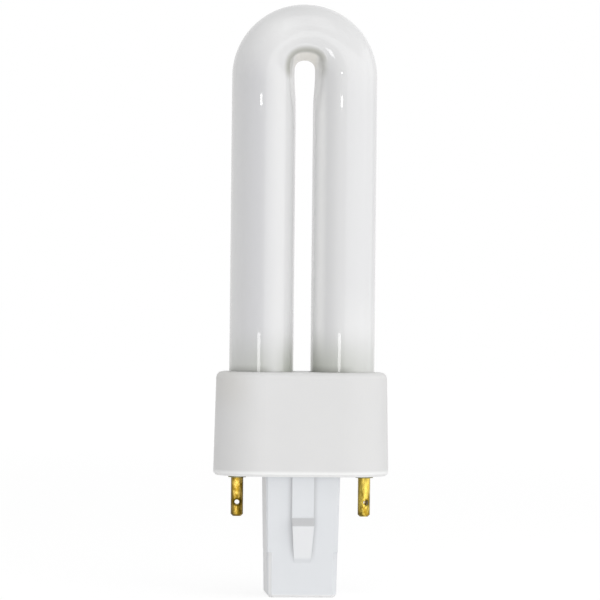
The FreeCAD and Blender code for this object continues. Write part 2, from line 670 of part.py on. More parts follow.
# the capacitor's right lead goes up to its sleeve, and the left one crosses in front of the rest
def makeCapacitorLeads():
    top = "(0 - size.capacitorTop)"
    leads = []
    for side, sign in sides:
        ownY = f"{sign} * size.capacitorSpread"
        slotY = f"{sign} * size.pairOffset"
        leads.append(makeLead(f"capacitor_lead_{side}", "size.thinLeadRadius", [
            (innerLeadX, ownY, top),
            (innerLeadX, ownY, f"{top} + size.leadRise"),
            (f"{sign} * {innerLeadX}", slotY, "size.spliceFoot - size.leadStraight"),
            (f"{sign} * {innerLeadX}", slotY, f"{spliceMiddle} - size.spliceFit"),
        ]))
    return leads


def makeAll():
    pieces = [makeTube(), makeBaseShell(), makeCap(), makeStarter(), makeCapacitor()]
    for side, sign in sides:
        pieces.append(makePin(side, sign))
        pieces.append(makeCement(side, sign))
        pieces.append(makeSplice(side, sign))
        pieces.extend(makeTubeLeads(side, sign))
    pieces.extend(makeStarterLeads())
    pieces.extend(makeCapacitorLeads())
    return pieces


def checkAll(pieces):
    doc.recompute()
    for item in doc.Objects:
        if "Invalid" in item.State or "Error" in item.State:
            raise RuntimeError(f"{item.Name} is {item.State}")
    for piece in pieces:
        shape = piece.Shape
        if shape.isNull() or not shape.isValid() or len(shape.Solids) != 1:
            raise RuntimeError(f"{piece.Label} has no single valid solid")


pieces = makeAll()
checkAll(pieces)
os.makedirs("parts", exist_ok=True)
for piece in pieces:
    piece.Shape.exportStep(f"parts/{piece.Label}.step")
    print(piece.Label, round(piece.Shape.Volume, 2))
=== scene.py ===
import bpy
import math
import numpy as np
from mathutils import Matrix, Vector


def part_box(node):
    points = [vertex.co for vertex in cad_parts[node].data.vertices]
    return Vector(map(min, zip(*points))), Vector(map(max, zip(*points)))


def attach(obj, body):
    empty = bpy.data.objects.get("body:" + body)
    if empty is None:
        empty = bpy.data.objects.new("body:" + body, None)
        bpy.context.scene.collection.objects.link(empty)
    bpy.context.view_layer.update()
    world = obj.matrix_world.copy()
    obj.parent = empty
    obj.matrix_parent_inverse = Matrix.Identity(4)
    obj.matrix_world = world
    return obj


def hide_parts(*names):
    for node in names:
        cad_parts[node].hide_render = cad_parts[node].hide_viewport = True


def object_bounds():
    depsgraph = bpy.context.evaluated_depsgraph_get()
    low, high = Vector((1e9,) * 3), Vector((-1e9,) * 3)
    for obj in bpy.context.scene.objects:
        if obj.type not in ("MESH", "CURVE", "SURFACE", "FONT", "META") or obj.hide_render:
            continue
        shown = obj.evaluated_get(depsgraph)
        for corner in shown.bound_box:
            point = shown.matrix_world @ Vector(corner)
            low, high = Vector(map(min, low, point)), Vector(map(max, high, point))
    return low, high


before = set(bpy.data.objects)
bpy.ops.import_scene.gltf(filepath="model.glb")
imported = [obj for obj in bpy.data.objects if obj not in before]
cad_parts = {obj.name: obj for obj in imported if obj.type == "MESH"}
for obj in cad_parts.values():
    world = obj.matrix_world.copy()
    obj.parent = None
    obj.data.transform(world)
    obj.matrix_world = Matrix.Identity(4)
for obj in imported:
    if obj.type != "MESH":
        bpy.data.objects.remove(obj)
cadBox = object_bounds()
print("frame loaded:", sorted(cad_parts))
millimetre = 0.001


# Blender works in metres, and most lengths here are written in millimetres
def millimetres(*lengths):
    return tuple(length * millimetre for length in lengths)


# A number or a colour that varies over a surface. Python's operators on it add Math nodes.
class Field:
    def __init__(self, nodes, socket):
        self.nodes = nodes
        self.socket = socket

    def join(self, operation, *entries):
        made = self.nodes.add("ShaderNodeMath", {"operation": operation}, dict(enumerate(entries)))
        return Field(self.nodes, made.outputs[0])

    def __add__(self, other):
        return self.join("ADD", self, other)

    def __sub__(self, other):
        return self.join("SUBTRACT", self, other)

    def __rsub__(self, other):
        return self.join("SUBTRACT", other, self)

    def __mul__(self, other):
        return self.join("MULTIPLY", self, other)

    def __pow__(self, other):
        return self.join("POWER", self, other)

    def __abs__(self):
        return self.join("ABSOLUTE", self)

    __radd__ = __add__
    __rmul__ = __mul__

    def most(self, other):
        return self.join("MAXIMUM", self, other)

    def least(self, other):
        return self.join("MINIMUM", self, other)

    # 0 below low, 1 above high, and a soft rise between them; low may be the larger one
    def rise(self, low, high):
        sockets = {"Value": self, "From Min": low, "From Max": high}
        made = self.nodes.add("ShaderNodeMapRange", {"interpolation_type": "SMOOTHSTEP"}, sockets)
        return Field(self.nodes, made.outputs["Result"])

    # 1 at the middle, falling softly to 0 at the given distance on both sides
    def band(self, middle, reach):
        return abs(self - middle).rise(reach, 0.0)


# A tree of nodes in the making.
class Nodes:
    def __init__(self, tree):
        self.tree = tree
        tree.nodes.clear()

    # any node: its type, its settings, then the value or the link of each input socket
    def add(self, kind, settings, sockets):
        node = self.tree.nodes.new(kind)
        for name, value in settings.items():
            setattr(node, name, value)
        for key, value in sockets.items():
            entry = node.inputs[key]
            if isinstance(value, Field):
                self.tree.links.new(value.socket, entry)
            elif isinstance(value, bpy.types.NodeSocket):
                self.tree.links.new(value, entry)
            elif entry.type == "RGBA":
                entry.default_value = (*value, 1.0)
            else:
                entry.default_value = value
        return node

    # 1 for what the camera, a gloss or clear glass sees, and 0 for the light that falls on pieces
    def seen(self):
        path = self.add("ShaderNodeLightPath", {}, {})
        names = ("Is Camera Ray", "Is Glossy Ray", "Is Transmission Ray")
        camera, glossy, transmission = (Field(self, path.outputs[name]) for name in names)
        return camera.most(glossy).most(transmission)


# One material in the making, with the few nodes that its finish is built from.
class Finish(Nodes):
    def __init__(self, name):
        self.material = bpy.data.materials.new(name)
        self.material.use_nodes = True
        super().__init__(self.material.node_tree)
        self.output = self.add("ShaderNodeOutputMaterial", {}, {})
        self.place = Field(self, self.add("ShaderNodeTexCoord", {}, {}).outputs["Object"])

    def axes(self, names):
        parts = self.add("ShaderNodeSeparateXYZ", {}, {"Vector": self.place})
        return [Field(self, parts.outputs[name]) for name in names]

    # soft noise between 0 and 1, with blobs of about the given size in metres
    def noise(self, blob, detail=2.0, roughness=0.5, stretch=(1.0, 1.0, 1.0), shift=0.0):
        turned = self.add("ShaderNodeMapping", {}, {
            "Vector": self.place, "Location": (shift, shift, shift), "Scale": stretch})
        made = self.add("ShaderNodeTexNoise", {}, {
            "Vector": turned.outputs[0], "Scale": 1.0 / blob, "Detail": detail, "Roughness": roughness})
        return Field(self, made.outputs[0])

    # sockets 0, 6 and 7 of a colour Mix are its factor and its two colours
    def mixColour(self, factor, first, second):
        made = self.add("ShaderNodeMix", {"data_type": "RGBA"}, {0: factor, 6: first, 7: second})
        return Field(self, made.outputs[2])

    # lays colours over the ground one after another, each where its mask is 1
    def paint(self, ground, *layers):
        for mask, colour in layers:
            ground = self.mixColour(mask, ground, colour)
        return ground

    def bump(self, height, depth, strength=1.0):
        made = self.add("ShaderNodeBump", {}, {"Height": height, "Distance": depth, "Strength": strength})
        return Field(self, made.outputs["Normal"])

    def skin(self, sockets):
        return self.finishWith(self.add("ShaderNodeBsdfPrincipled", {}, sockets))

    def finishWith(self, shader):
        self.tree.links.new(shader.outputs[0], self.output.inputs["Surface"])
        return self.material


# A mesh from rows of points round a closed section. Point s of row r is vertex r * around + s, and a
# face joins it to the next point and to the next row. A pole in the middle closes each end row.
def ringMesh(name, rows):
    count, around = rows.shape[:2]
    poles = np.stack([rows[0].mean(axis=0), rows[-1].mean(axis=0)])
    points = np.concatenate([rows.reshape(-1, 3), poles])
    row, step = np.meshgrid(np.arange(count - 1), np.arange(around), indexing="ij")
    here = row * around + step
    beside = row * around + (step + 1) % around
    quads = np.stack([here, beside, beside + around, here + around], axis=-1).reshape(-1, 4)
    turn = np.arange(around)
    following = (turn + 1) % around
    firstPole = np.stack([following, turn, np.full(around, count * around)], axis=-1)
    last = (count - 1) * around
    lastPole = np.stack([turn + last, following + last, np.full(around, count * around + 1)], axis=-1)
    faces = quads.tolist() + firstPole.tolist() + lastPole.tolist()
    mesh = bpy.data.meshes.new(name)
    mesh.from_pydata(points.tolist(), [], faces)
    mesh.polygons.foreach_set("use_smooth", np.ones(len(mesh.polygons), dtype=bool))
    mesh.update()
    piece = bpy.data.objects.new(name, mesh)
    bpy.context.scene.collection.objects.link(piece)
    return piece


def dress(piece, material):
    piece.data.materials.clear()
    piece.data.materials.append(material)


# the bent glass, from one pinched foot up a leg, over the bend and down to the other foot
glassLow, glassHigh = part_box("glass_tube")
pinchHalfWidth = 6.0 * millimetre  # a pinch is wider than its leg, so it sets the sides of the box
glass = {
    "radius": (glassHigh.y - glassLow.y) / 2,
    "legX": (glassHigh.x - glassLow.x) / 2 - pinchHalfWidth,
    "top": glassHigh.z,
    "foot": 5.8 * millimetre,
    "pinchHeight": 3.2 * millimetre,
    "shoulderHeight": 2.4 * millimetre,
    "pinchHalfWidth": pinchHalfWidth,
    "pinchHalfThick": 1.5 * millimetre,
    "squareness": 7.0,
    "around": 112,
    "footSteps": 5,
    "shoulderSteps": 10,
    "legSteps": 70,
    "bendSteps": 120,
    "crotchRise": 1.15 * millimetre,
    "crotchThroat": 1.85 * millimetre,
    "crotchSquareness": 2.3,
    "crotchTaper": 0.22,
    "crotchFlare": 0.29,
    "crotchSoftness": 0.12 * millimetre,
    "crotchReach": 4.0,  # how many softnesses past its rim the hollow still moves a point
}
bendLevel = glass["top"] - glass["legX"] - glass["radius"]


# the soft step from 0 to 1: three times u squared, less twice u cubed
def smoothStep(u):
    return u * u * (3 - 2 * u)


# One half of the path: heights of the stations on a leg, with the half widths across and deep and
# the squareness q of the section |x/across|^q + |y/deep|^q = 1, which is 2 for an ellipse.
def legStations():
    radius = glass["radius"]
    legFoot = glass["foot"] + glass["pinchHeight"] + glass["shoulderHeight"]
    pinch = np.linspace(glass["foot"], glass["foot"] + glass["pinchHeight"], glass["footSteps"])
    ease = np.linspace(0, 1, glass["shoulderSteps"])[1:]
    shoulder = pinch[-1] + ease * glass["shoulderHeight"]
    leg = np.linspace(legFoot, bendLevel, glass["legSteps"])[1:]
    heights = np.concatenate([pinch, shoulder, leg])
    blend = np.concatenate([np.zeros(len(pinch)), smoothStep(ease), np.ones(len(leg))])
    across = glass["pinchHalfWidth"] + (radius - glass["pinchHalfWidth"]) * blend
    deep = glass["pinchHalfThick"] + (radius - glass["pinchHalfThick"]) * blend
    square = glass["squareness"] + (2 - glass["squareness"]) * blend
    return heights, across, deep, square


# The glass surface: each section stands square to the path, which is straight along a leg and a
# half circle of radius legX over the bend.
def glassRows():
    radius = glass["radius"]
    legX = glass["legX"]
    heights, across, deep, square = legStations()
    angle = np.linspace(math.pi, 0, glass["bendSteps"] + 1)[1:-1]
    onLeg = np.ones_like(heights)
    onBend = np.ones_like(angle)
    middleX = np.concatenate([-legX * onLeg, legX * np.cos(angle), legX * onLeg])
    middleZ = np.concatenate([heights, bendLevel + legX * np.sin(angle), heights[::-1]])
    outX = np.concatenate([-onLeg, np.cos(angle), onLeg])
    outZ = np.concatenate([np.zeros_like(heights), np.sin(angle), np.zeros_like(heights)])
    halfAcross = np.concatenate([across, radius * onBend, across[::-1]])
    halfDeep = np.concatenate([deep, radius * onBend, deep[::-1]])
    power = 2 / np.concatenate([square, 2 * onBend, square[::-1]])[:, None]
    turn = np.linspace(0, 2 * math.pi, glass["around"], endpoint=False)[None, :]
    offAcross = np.sign(np.cos(turn)) * np.abs(np.cos(turn)) ** power * halfAcross[:, None]
    offDeep = np.sign(np.sin(turn)) * np.abs(np.sin(turn)) ** power * halfDeep[:, None]
    x = middleX[:, None] + offAcross * outX[:, None]
    z = middleZ[:, None] + offAcross * outZ[:, None]
    return pressCrotch(np.stack([x, offDeep, z], axis=-1))


# The hollow pressed into the crotch, about an axis along Y at crotchRise above the bend's level.
# Its section is |x|^q + u^q = r^q with q = squareness, where u is the height above the axis, or
# taper times the depth below it, and r = throat + flare * |y|. A point whose own r is d moves
# straight out from the axis to the soft larger one of the two: half of d + r + the square root of
# (d - r)^2 + softness^2. Below the axis it only moves sideways.
def pressCrotch(rows):
    x, y, z = rows[..., 0], rows[..., 1], rows[..., 2]
    power = glass["crotchSquareness"]
    softness = glass["crotchSoftness"]
    rise = z - bendLevel - glass["crotchRise"]
    up = np.maximum(rise, -glass["crotchTaper"] * rise)
    distance = (np.abs(x) ** power + up ** power) ** (1 / power)
    hollow = glass["crotchThroat"] + glass["crotchFlare"] * np.abs(y)
    larger = (distance + hollow + np.sqrt((distance - hollow) ** 2 + softness ** 2)) / 2
    near = distance < hollow + glass["crotchReach"] * softness
    scale = np.where(near, larger, distance) / distance
    spread = np.where(rise > 0, scale, 1.0)
    return np.stack([x * scale, y, bendLevel + glass["crotchRise"] + rise * spread], axis=-1)


# The coating of the glass, with the painted shade and painted light laid over it. A pair for rise() says
# where a mask is 0 and where it is 1, and one for band() its middle and its reach. "Across" is measured
# from the middle of each leg to the right.
powder = {
    "dark": (0.785, 0.785, 0.79),
    "light": (0.83, 0.83, 0.83),
    "cloud": 12.0 * millimetre,
    "cloudStretch": (1.0, 1.0, 0.35),
    "ripple": 6.0 * millimetre,
    "rippleStretch": (1.0, 1.0, 0.2),
    "rippleDepth": 0.02 * millimetre,
    "roughness": 0.55,
    "glossRoughness": 0.02,
    "refraction": 1.5,
    "legSides": millimetres(-0.1, 0.1),
    "legTop": millimetres(78.0, 70.0),
    # the colours from here on are painted shade and painted light, all but the thin powder
    "streak": (0.69, 0.69, 0.695),
    "streakAcross": millimetres(-3.1, 2.7),
    "streakFront": millimetres(0.0, -3.0),
    "streakShare": 0.75,
    "leftLeg": millimetres(0.0, -0.5),
    "leftPaintedShade": (0.675, 0.675, 0.69),
    "leftAcross": millimetres(-1.4, 4.4),
    "bendPaintedLight": (0.90, 0.90, 0.90),
    "bendHeight": millimetres(80.5, 4.5),
    "bendLeft": millimetres(-5.3, 5.8),
    "rightLeg": millimetres(0.0, 0.5),
    "rightPaintedShade": (0.768, 0.768, 0.775),
    "rightAcross": millimetres(-2.5, 0.5),
    "rightTop": millimetres(76.0, 66.0),
    "rightFoot": millimetres(26.0, 36.0),
    "edge": (0.95, 0.95, 0.94),
    "edgeAcross": millimetres(-4.6, 1.3),
    "edgeLeg": millimetres(0.0, 1.5),
    "edgeTop": millimetres(74.0, 66.0),
    "edgeShare": 0.8,
    "thin": (0.50, 0.515, 0.47),
    "thinTop": millimetres(27.5, 18.5),
    "thinOutside": millimetres(4.0, 12.5),
    "thinOutsideShare": 0.45,
    "thinLeftAcross": millimetres(2.0, 2.6),
    "thinLeftShare": 0.5,
    "foot": (0.33, 0.335, 0.31),
    "footTop": millimetres(20.1, 18.8),
    "footAcross": millimetres(2.5, -0.5),
    "footShare": 0.6,
    "wall": (0.95, 0.92, 0.86),
    "wallRim": millimetres(0.4, 0.1),
    "wallRise": millimetres(-0.4, 1.2),
    "wallSide": millimetres(2.8, 1.5),
    "foldPaintedShade": (0.50, 0.50, 0.46),
    "foldRim": millimetres(0.12, 0.85),
    "foldRise": millimetres(-2.2, 0.2),
    "foldTop": millimetres(0.8, 2.6),
    "foldDepth": millimetres(1.3, 2.6),
    "foldTopDepth": 2.3 * millimetre,
    "foldRight": millimetres(0.6, 2.6),
    "foldRightShare": 0.55,
}


# how far a point lies outside the hollow's surface, by the formula of pressCrotch
def crotchRim(x, y, rise):
    power = glass["crotchSquareness"]
    up = rise.most(rise * -glass["crotchTaper"])
    fromAxis = (abs(x) ** power + up ** power) ** (1 / power)
    return fromAxis - abs(y) * glass["crotchFlare"] - glass["crotchThroat"]


# White powder under clear glass: a satin white with a clear gloss over it. Painted shade darkens a streak
# along the front of each leg, the left leg and the right half of the right one, and painted light
# brightens the left of the bend and the right leg's side by the gap. Towards the feet the powder thins
# out to a greenish grey, and painted shade darkens the left half of each leg just above the deck. Round
# the crotch runs a band of painted shade, weaker low on its right, and the wall inside it carries a
# painted reflection in cream white.
def coatedGlass():
    finish = Finish("coatedGlass")
    x, y, z = finish.axes("XYZ")
    across = x - (x.rise(*powder["legSides"]) * 2 - 1) * glass["legX"]
    # painted shade: a grey streak along the front of each leg, left of its middle
    streak = across.band(*powder["streakAcross"]) * y.rise(*powder["streakFront"])
    streak = streak * z.rise(*powder["legTop"])
    leftLeg = x.rise(*powder["leftLeg"]) * z.rise(*powder["legTop"])
    # painted shade over most of the left leg
    leftPaintedShade = across.band(*powder["leftAcross"]) * leftLeg
    # painted light on the left of the bend
    bendPaintedLight = z.band(*powder["bendHeight"]) * x.band(*powder["bendLeft"])
    # painted shade on the right half of the right leg, between its foot and the bend
    rightPaintedShade = across.rise(*powder["rightAcross"]) * x.rise(*powder["rightLeg"])
    rightPaintedShade = rightPaintedShade * z.rise(*powder["rightTop"]) * z.rise(*powder["rightFoot"])
    # painted light on the right leg's side that faces the gap
    edge = across.band(*powder["edgeAcross"]) * x.rise(*powder["edgeLeg"])
    edge = edge * z.rise(*powder["edgeTop"])
    thin = 1 - powder["thinOutsideShare"] * abs(x).rise(*powder["thinOutside"])
    thin = thin * (1 - powder["thinLeftShare"] * across.band(*powder["thinLeftAcross"]) * leftLeg)
    thin = thin * z.rise(*powder["thinTop"])
    # painted shade on the left half of each leg just above the deck
    foot = z.rise(*powder["footTop"]) * across.rise(*powder["footAcross"])
    rise = z - (bendLevel + glass["crotchRise"])
    rim = crotchRim(x, y, rise)
    # painted reflection in cream white on the wall inside the hollow
    wall = rim.rise(*powder["wallRim"]) * rise.rise(*powder["wallRise"])
    wall = wall * abs(x).rise(*powder["wallSide"])
    # painted shade in a band round the crotch, weaker low on its right
    top = rise.rise(*powder["foldTop"])
    foldPaintedShade = rim.band(*powder["foldRim"]) * rise.rise(*powder["foldRise"])
    foldPaintedShade = foldPaintedShade * (abs(y) - top * powder["foldTopDepth"]).rise(*powder["foldDepth"])
    foldPaintedShade = foldPaintedShade * (1 - powder["foldRightShare"] * x.rise(*powder["foldRight"]) * (1 - top))
    cloud = finish.noise(powder["cloud"], detail=3.0, stretch=powder["cloudStretch"])
    ripple = finish.noise(powder["ripple"], detail=1.0, stretch=powder["rippleStretch"], shift=3.0)
    colour = finish.paint(
        powder["dark"],
        (cloud, powder["light"]),
        (streak * powder["streakShare"], powder["streak"]),
        (leftPaintedShade, powder["leftPaintedShade"]),
        (bendPaintedLight, powder["bendPaintedLight"]),
        (rightPaintedShade, powder["rightPaintedShade"]),
        (edge * powder["edgeShare"], powder["edge"]),
        (thin, powder["thin"]),
        (foot * powder["footShare"], powder["foot"]),
        (wall, powder["wall"]),
        (foldPaintedShade, powder["foldPaintedShade"]),
    )
    return finish.skin({
        "Base Color": colour,
        "Roughness": powder["roughness"],
        "IOR": powder["refraction"],
        "Coat Weight": 1.0,
        "Coat Roughness": powder["glossRoughness"],
        "Coat IOR": powder["refraction"],
        "Normal": finish.bump(ripple, powder["rippleDepth"]),
    })


def makeGlass():
    piece = ringMesh("coated_glass_tube", glassRows())
    dress(piece, coatedGlass())
    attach(piece, "root")
    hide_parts("glass_tube")
    print("glass made:", len(piece.data.polygons), "faces")


shell = {
    "dark": (0.767, 0.765, 0.763),
    "light": (0.807, 0.805, 0.803),
    "blotch": 9.0 * millimetre,
    "grain": 0.35 * millimetre,
    "grainDepth": 0.02 * millimetre,
    "grainStrength": 0.6,
    "roughness": 0.42,
    "grainRoughness": 0.12,
    # painted shade, slightly yellowish, for the upper left end
    "warmPaintedShade": (0.73, 0.715, 0.68),
    "warmLeft": millimetres(-8.0, -13.5),
    "warmTop": millimetres(10.0, 16.0),
    "warmShare": 0.5,
    # painted light for the bottom of the shell
    "rim": (0.97, 0.97, 0.965),
    "rimTop": millimetres(1.2, 0.6),
}


# Satin white moulding of the base with a fine grain. High up at the left end it carries a little
# painted shade, slightly yellowish, and along its bottom a band of painted light.
def shellPlastic():
    finish = Finish("shellPlastic")
    x, z = finish.axes("XZ")
    blotch = finish.noise(shell["blotch"], detail=3.0)
    grain = finish.noise(shell["grain"], detail=2.0, shift=5.0)
    # painted shade, slightly yellowish, high up at the left end
    warmPaintedShade = x.rise(*shell["warmLeft"]) * z.rise(*shell["warmTop"])
    colour = finish.paint(
        shell["dark"],
        (blotch, shell["light"]),
        (warmPaintedShade * shell["warmShare"], shell["warmPaintedShade"]),
        # painted light along the bottom of the shell
        (z.rise(*shell["rimTop"]), shell["rim"]),
    )
    return finish.skin({
        "Base Color": colour,
        "Roughness": grain * shell["grainRoughness"] + shell["roughness"],
        "Normal": finish.bump(grain, shell["grainDepth"], shell["grainStrength"]),
    })


# the cap with its latch post: the face stands at faceDepth at the seat and leans in by draft, and
# "Proud" is how far a point stands out in front of that face
cap = {
    "dark": (0.785, 0.803, 0.827),
    "light": (0.825, 0.843, 0.867),
    # the grey of the painted shade
    "shade": (0.50, 0.50, 0.505),
    # the white of the painted light on the end bevel and the lead-in
    "pale": (0.97, 0.97, 0.97),
    "blotch": 6.0 * millimetre,
    "wave": 2.5 * millimetre,
    "waveDepth": 0.03 * millimetre,
    "waveStrength": 0.7,
    "roughness": 0.3,
    "faceDepth": 6.3 * millimetre,
    "draft": math.tan(math.radians(1.2)),
    "belowSeat": millimetres(0.0, -0.4),
    "slopeTop": millimetres(-7.1, -7.5),
    "slopeFoot": millimetres(-8.9, -8.65),
    "slopeProud": millimetres(0.45, 0.7),
    "slopeShare": 0.74,
    # the white of the painted light on the lug's face
    "lug": (0.91, 0.92, 0.935),
    "lugTop": millimetres(-8.75, -8.9),
    "lugProud": millimetres(0.1, 0.3),
    "lugCrest": -8.8 * millimetre,
    "lugTaper": 0.068,
    "ribHalfWidth": 2.0 * millimetre,
    "creaseReach": millimetres(0.9, 0.0),
    "creaseProud": millimetres(0.25, 0.0),
    "creaseFoot": millimetres(-16.0, -13.0),
    "creaseShare": 0.35,
    "wallSide": millimetres(-0.12, -0.02),
    "wallProud": millimetres(0.04, 0.14),
    "wallShare": 0.6,
    "endBevel": millimetres(-21.1, -21.3),
    "leadInTop": millimetres(-13.5, -13.7),
    "leadInProud": millimetres(-0.25, 0.5),
    "leadInLeft": millimetres(-5.2, -5.8),
    "leadInStep": 0.3 * millimetre,
    "flankProud": millimetres(-0.15, -0.8),
    "flankShare": 0.15,
    "flankLeft": millimetres(3.0, -3.0),
    "flankLeftShare": 0.47,
}


# White plastic. Painted shade darkens the slope over the catch, the creases beside the rib and the lug,
# the walls of both and the post's flanks, most of all the left one. Painted light brightens the face of
# the lug, the bevel at the post's end and the lead-in at its left corner.
def capPlastic():
    finish = Finish("capPlastic")
    x, y, z = finish.axes("XYZ")
    proud = abs(y) - z * cap["draft"] - cap["faceDepth"]
    onPost = z.rise(*cap["belowSeat"])
    # painted shade on the slope over the catch
    slope = z.rise(*cap["slopeTop"]) * z.rise(*cap["slopeFoot"]) * proud.rise(*cap["slopeProud"])
    # painted light on the face of the lug
    lug = z.rise(*cap["lugTop"]) * proud.rise(*cap["lugProud"])
    taper = (z - cap["lugCrest"]).least(0.0) * cap["lugTaper"]
    fromRib = abs(x) - taper - cap["ribHalfWidth"]
    # painted shade in the creases beside the rib and the lug
    crease = fromRib.rise(*cap["creaseReach"]) * proud.rise(*cap["creaseProud"])
    crease = crease * z.rise(*cap["creaseFoot"]) * onPost
    # painted shade on the walls of the rib and the lug
    wall = fromRib.rise(*cap["wallSide"]) * proud.rise(*cap["wallProud"]) * onPost
    # painted light on the bevel at the post's end
    endBevel = z.rise(*cap["endBevel"])
    low = z.rise(*cap["leadInTop"])
    # painted light on the lead-in at the post's lower left corner
    leadIn = proud.band(*cap["leadInProud"]) * x.rise(*cap["leadInLeft"]) * low
    # painted shade on the post's flanks, strongest on the left one
    flank = (proud + low * cap["leadInStep"]).rise(*cap["flankProud"]) * onPost * (1 - endBevel)
    flank = flank * (cap["flankShare"] + x.rise(*cap["flankLeft"]) * cap["flankLeftShare"])
    # all the painted shade on the cap, taken together
    shade = (slope * cap["slopeShare"]).most(crease * cap["creaseShare"])
    shade = shade.most(wall * cap["wallShare"]).most(flank)
    blotch = finish.noise(cap["blotch"], detail=2.0)
    wave = finish.noise(cap["wave"], detail=1.0, shift=7.0)
    colour = finish.paint(
        cap["dark"],
        (blotch, cap["light"]),
        (lug, cap["lug"]),
        (endBevel.most(leadIn), cap["pale"]),
        (shade, cap["shade"]),
    )
    return finish.skin({
        "Base Color": colour,
        "Roughness": cap["roughness"],
        "Normal": finish.bump(wave, cap["waveDepth"], cap["waveStrength"]),
    })


brass = {
    "bright": (0.89, 0.69, 0.14),
    "brown": (0.89, 0.62, 0.15),
    "patch": 1.1 * millimetre,
    "patchStretch": (1.0, 1.0, 0.55),
    "streak": 0.8 * millimetre,
    "streakStretch": (1.0, 1.0, 0.25),
    "bumpDepth": 0.12 * millimetre,
    "bumpStreak": 0.6,
    "roughness": 0.16,
    "patchRoughness": 0.25,
    "axisX": 11.5 * millimetre,
    "radius": 1.11 * millimetre,
    "leftSide": millimetres(1.0, 0.0),
    "freshFoot": millimetres(-4.2, -2.6),
    "dull": (0.37, 0.23, 0.02),
    "dullRange": (0.42, 0.60),
    "dullLeast": 0.3,
    "dullLeft": 0.05,
    "dullFresh": 0.45,
    # the colour of the stains, used also for the painted shade on the flanks, the tip and the hole's ring
    "stain": (0.06, 0.04, 0.002),
    "stainRange": (0.46, 0.66),
    "stainShare": 0.7,
    "stainLeft": 0.04,
    "stainFresh": 0.25,
    "flankRange": (0.30, 0.85),
    "flankShare": 0.6,
    "flankLeftShare": 0.25,
    "tipTop": millimetres(-6.0, -7.4),
    "tipSide": millimetres(0.5, -0.8),
    "tipShare": 0.75,
    "holeLevel": -4.9 * millimetre,
    "ringBand": millimetres(0.60, 0.30),
    "crescentSide": millimetres(-0.1, 0.3),
    "ringShare": 0.95,
    "collar": (0.17, 0.17, 0.09),
    "collarFoot": millimetres(-0.6, -0.42),
}


# Drawn brass: long stains and dull patches, browner on the left pin and fresher high on the right one,
# and an olive collar. Painted shade in the colour of the stains darkens the flanks, the left side of the
# tip and a ring round the left pin's cross hole, which on the right pin is only a crescent.
def pinBrass():
    finish = Finish("pinBrass")
    x, z = finish.axes("XZ")
    patch = finish.noise(brass["patch"], detail=5.0, roughness=0.65, stretch=brass["patchStretch"])
    streak = finish.noise(brass["streak"], detail=2.0, stretch=brass["streakStretch"], shift=2.0)
    leftPin = x.rise(*brass["leftSide"])
    fresh = (1 - leftPin) * z.rise(*brass["freshFoot"])
    dull = (patch + leftPin * brass["dullLeft"]).rise(*brass["dullRange"]).most(brass["dullLeast"])
    dull = dull * (1 - brass["dullFresh"] * fresh)
    stain = (streak + leftPin * brass["stainLeft"]).rise(*brass["stainRange"])
    stain = stain * (brass["stainShare"] - brass["stainFresh"] * fresh)
    fromMiddle = x - (1 - 2 * leftPin) * brass["axisX"]
    # painted shade on the flanks of each pin, stronger on the left pin
    side = fromMiddle * (1 / brass["radius"])
    facing = (1 - side * side).most(0.0) ** 0.5
    flanks = (1 - facing).rise(*brass["flankRange"])
    flanks = flanks * (brass["flankShare"] + brass["flankLeftShare"] * leftPin)
    # painted shade on the left side of each pin's tip
    tip = z.rise(*brass["tipTop"]) * fromMiddle.rise(*brass["tipSide"])
    # painted shade in a ring round the cross hole, only a crescent on the right side of the right pin
    fromAxis = abs(x) - brass["axisX"]
    fromLevel = z - brass["holeLevel"]
    fromHole = (fromAxis * fromAxis + fromLevel * fromLevel) ** 0.5
    ring = fromHole.band(*brass["ringBand"]) * leftPin.most(fromAxis.rise(*brass["crescentSide"]))
    colour = finish.paint(
        brass["bright"],
        (leftPin, brass["brown"]),
        (dull, brass["dull"]),
        (stain, brass["stain"]),
        # painted shade in the colour of the stains: the flanks, the tip and the ring round the hole
        (flanks, brass["stain"]),
        (tip * brass["tipShare"], brass["stain"]),
        (ring * brass["ringShare"], brass["stain"]),
        (z.rise(*brass["collarFoot"]), brass["collar"]),
    )
    return finish.skin({
        "Base Color": colour,
        "Metallic": 1.0,
        "Roughness": patch * brass["patchRoughness"] + brass["roughness"],
        "Normal": finish.bump(patch + streak * brass["bumpStreak"], brass["bumpDepth"]),
    })


# what the base holds inside: its dark and its light tone, metal or not, and its roughness
hidden = {
    "cement": ((0.66, 0.61, 0.50), (0.74, 0.70, 0.60), 0.0, 0.85),
    "wire": ((0.46, 0.45, 0.42), (0.60, 0.59, 0.56), 1.0, 0.35),
    "splice": ((0.55, 0.55, 0.54), (0.70, 0.70, 0.69), 1.0, 0.3),
    "starterGlass": ((0.62, 0.66, 0.66), (0.72, 0.75, 0.75), 0.0, 0.1),
    "capacitorCase": ((0.42, 0.17, 0.04), (0.55, 0.24, 0.06), 0.0, 0.35),
}
hiddenBlotch = {"size": 1.1 * millimetre, "depth": 0.03 * millimetre, "roughness": 0.1}


def innerFinish(name):
    dark, light, metallic, roughness = hidden[name]
    finish = Finish(name)
    blotch = finish.noise(hiddenBlotch["size"], detail=3.0)
    return finish.skin({
        "Base Color": finish.mixColour(blotch, dark, light),
        "Metallic": metallic,
        "Roughness": blotch * hiddenBlotch["roughness"] + roughness,
        "Normal": finish.bump(blotch, hiddenBlotch["depth"]),
    })


# how the names of the CAD nodes start, and the finish that such a node takes
nodeFinish = {
    "base_shell": "shellPlastic",
    "lamp_cap": "capPlastic",
    "pin_": "pinBrass",
    "tube_cement": "cement",
    "pin_lead": "wire",
    "splice_lead": "wire",
    "starter_lead": "wire",
    "capacitor_lead": "wire",
    "splice_sleeve": "splice",
    "starter_bulb": "starterGlass",
    "capacitor": "capacitorCase",
}


